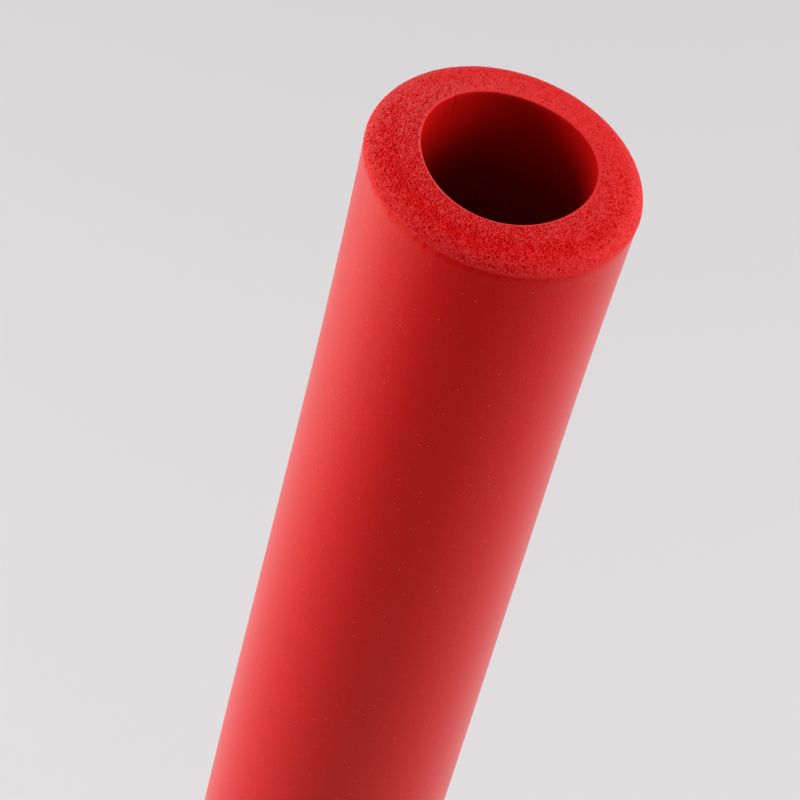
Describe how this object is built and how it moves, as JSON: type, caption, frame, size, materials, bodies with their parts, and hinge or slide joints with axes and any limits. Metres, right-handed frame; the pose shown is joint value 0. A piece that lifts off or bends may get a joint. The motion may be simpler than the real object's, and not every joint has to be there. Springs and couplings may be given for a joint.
{
  "type": "foam tube",
  "caption": "Straight hollow foam tube with a smooth through bore, square-cut ends showing fine closed cells, and softly rolled-over outer rims.",
  "frame": {"origin": "centre of the bore in the plane of the lower cut end", "axes": "+Z along the bore, from the lower end to the upper end; X and Y are across the tube, which is round about Z"},
  "size_m": [0.04, 0.04, 0.5],
  "materials": {
    "foam": "satin extruded skin outside and in the bore, open fine-cell cut face at both ends, bright red"
  },
  "bodies": {
    "root": {"foam_tube": "foam"}
  },
  "joints": []
}
